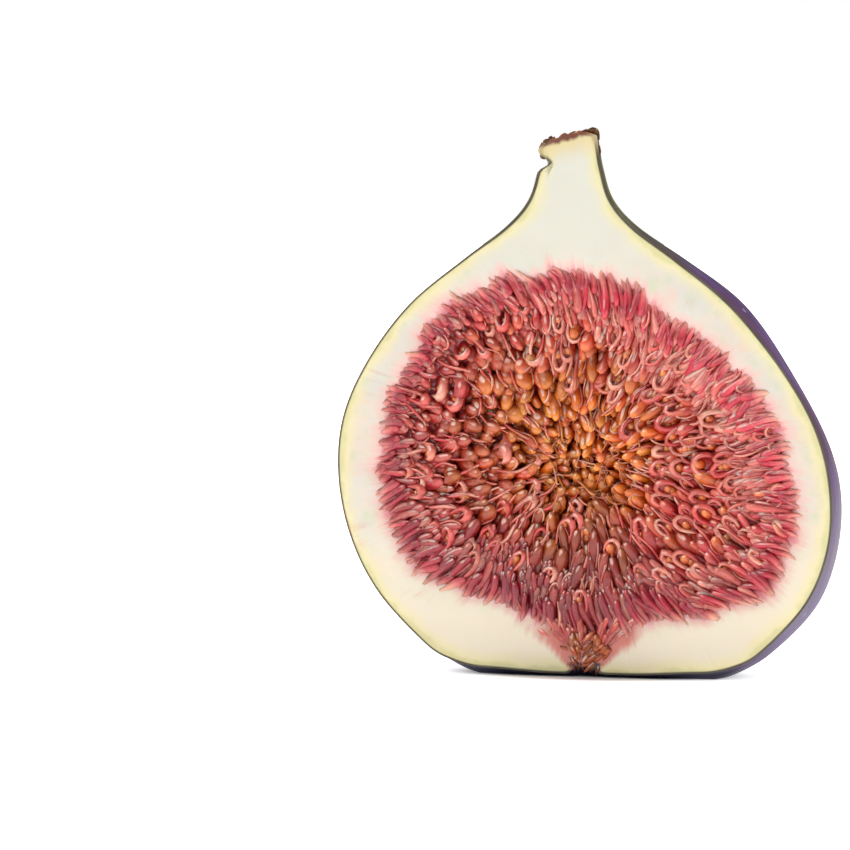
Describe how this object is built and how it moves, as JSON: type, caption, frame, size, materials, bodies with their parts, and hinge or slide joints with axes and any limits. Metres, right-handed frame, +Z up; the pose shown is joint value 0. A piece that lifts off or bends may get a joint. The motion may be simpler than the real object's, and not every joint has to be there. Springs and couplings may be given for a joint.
{
  "type": "fresh fig half",
  "caption": "Upright half of a ripe purple fig, cut lengthwise through its stem, with creamy rind, a dished red pulp face and a flat foot that it stands on.",
  "frame": {"origin": "on the surface that the fig stands on, under the middle of its box", "axes": "+Z up from the foot to the stem, -Y the way the cut face looks, +X to the right for someone facing the cut"},
  "size_m": [0.057, 0.0282, 0.06],
  "materials": {
    "fig_fruit": "satin purple skin"
  },
  "bodies": {
    "root": {"fig_half": "fig_fruit"}
  },
  "joints": []
}
